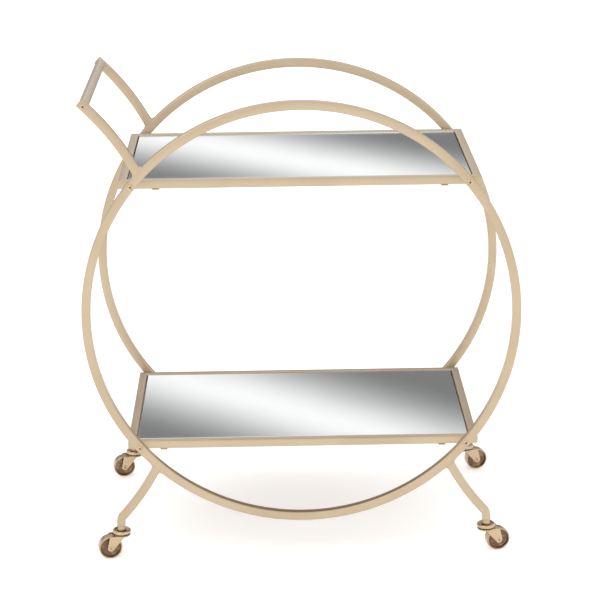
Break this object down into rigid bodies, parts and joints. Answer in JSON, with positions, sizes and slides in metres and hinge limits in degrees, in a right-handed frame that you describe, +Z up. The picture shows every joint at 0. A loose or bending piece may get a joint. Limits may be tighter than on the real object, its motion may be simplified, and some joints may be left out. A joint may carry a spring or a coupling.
{
  "type": "bar cart",
  "caption": "Two-tier rolling bar cart: round hoop frames, mirrored shelves, bowed side handle and splayed legs on swivel casters.",
  "frame": {"origin": "on the floor, at the middle of the overall box, midway between the two hoops and under their centre", "axes": "+X to the right along the shelves, the handle at -X; +Y from the front hoop to the back hoop; +Z up"},
  "size_m": [0.686, 0.3762, 0.7519],
  "materials": {
    "frame_enamel": "satin champagne-gold enamel",
    "mirror_glass": "silvered float glass",
    "backing_board": "plain fibreboard",
    "screw_brass": "satin brass plate",
    "nut_steel": "zinc plated",
    "caster_brass": "lacquered antique brass",
    "wheel_brass": "lacquered antique brass",
    "ball_steel": "polished steel"
  },
  "bodies": {
    "cart": {"front_hoop": "frame_enamel", "front_handle_arm": "frame_enamel", "front_left_leg": "frame_enamel", "front_right_leg": "frame_enamel", "back_hoop": "frame_enamel", "back_handle_arm": "frame_enamel", "back_left_leg": "frame_enamel", "back_right_leg": "frame_enamel", "handle_bar": "frame_enamel", "handle_screws": "screw_brass", "handle_end_plugs": "nut_steel", "leg_foot_plugs": "nut_steel", "lower_front_rail": "frame_enamel", "lower_back_rail": "frame_enamel", "lower_left_rail": "frame_enamel", "lower_right_rail": "frame_enamel", "lower_left_strap": "frame_enamel", "lower_right_strap": "frame_enamel", "lower_backing_board": "backing_board", "lower_mirror": "mirror_glass", "lower_shelf_screws": "screw_brass", "lower_rivet_nuts": "nut_steel", "upper_front_rail": "frame_enamel", "upper_back_rail": "frame_enamel", "upper_left_rail": "frame_enamel", "upper_right_rail": "frame_enamel", "upper_left_strap": "frame_enamel", "upper_right_strap": "frame_enamel", "upper_backing_board": "backing_board", "upper_mirror": "mirror_glass", "upper_shelf_screws": "screw_brass", "upper_rivet_nuts": "nut_steel", "front_left_caster_stem": "caster_brass", "front_left_caster_cap": "caster_brass", "front_right_caster_stem": "caster_brass", "front_right_caster_cap": "caster_brass", "back_left_caster_stem": "caster_brass", "back_left_caster_cap": "caster_brass", "back_right_caster_stem": "caster_brass", "back_right_caster_cap": "caster_brass"},
    "front_left_caster_fork": {"front_left_caster_fork": "caster_brass", "front_left_caster_axle": "caster_brass", "front_left_caster_balls": "ball_steel"},
    "front_left_caster_wheel": {"front_left_caster_wheel": "wheel_brass"},
    "front_right_caster_fork": {"front_right_caster_fork": "caster_brass", "front_right_caster_axle": "caster_brass", "front_right_caster_balls": "ball_steel"},
    "front_right_caster_wheel": {"front_right_caster_wheel": "wheel_brass"},
    "back_left_caster_fork": {"back_left_caster_fork": "caster_brass", "back_left_caster_axle": "caster_brass", "back_left_caster_balls": "ball_steel"},
    "back_left_caster_wheel": {"back_left_caster_wheel": "wheel_brass"},
    "back_right_caster_fork": {"back_right_caster_fork": "caster_brass", "back_right_caster_axle": "caster_brass", "back_right_caster_balls": "ball_steel"},
    "back_right_caster_wheel": {"back_right_caster_wheel": "wheel_brass"}
  },
  "joints": [
    {"name": "front_left_swivel", "type": "hinge", "parent": "cart", "child": "front_left_caster_fork", "pos_m": [-0.29414, -0.1715, 0.04], "axis": [0, 0, 1], "continuous": true},
    {"name": "front_left_wheel_spin", "type": "hinge", "parent": "front_left_caster_fork", "child": "front_left_caster_wheel", "pos_m": [-0.31322, -0.17555, 0.019], "axis": [-0.2079, 0.9781, 0], "continuous": true},
    {"name": "front_right_swivel", "type": "hinge", "parent": "cart", "child": "front_right_caster_fork", "pos_m": [0.29414, -0.1715, 0.04], "axis": [0, 0, 1], "continuous": true},
    {"name": "front_right_wheel_spin", "type": "hinge", "parent": "front_right_caster_fork", "child": "front_right_caster_wheel", "pos_m": [0.31322, -0.16745, 0.019], "axis": [-0.2079, 0.9781, 0], "continuous": true},
    {"name": "back_left_swivel", "type": "hinge", "parent": "cart", "child": "back_left_caster_fork", "pos_m": [-0.29414, 0.1715, 0.04], "axis": [0, 0, 1], "continuous": true},
    {"name": "back_left_wheel_spin", "type": "hinge", "parent": "back_left_caster_fork", "child": "back_left_caster_wheel", "pos_m": [-0.31322, 0.16745, 0.019], "axis": [-0.2079, 0.9781, 0], "continuous": true},
    {"name": "back_right_swivel", "type": "hinge", "parent": "cart", "child": "back_right_caster_fork", "pos_m": [0.29414, 0.1715, 0.04], "axis": [0, 0, 1], "continuous": true},
    {"name": "back_right_wheel_spin", "type": "hinge", "parent": "back_right_caster_fork", "child": "back_right_caster_wheel", "pos_m": [0.31322, 0.17555, 0.019], "axis": [-0.2079, 0.9781, 0], "continuous": true}
  ]
}
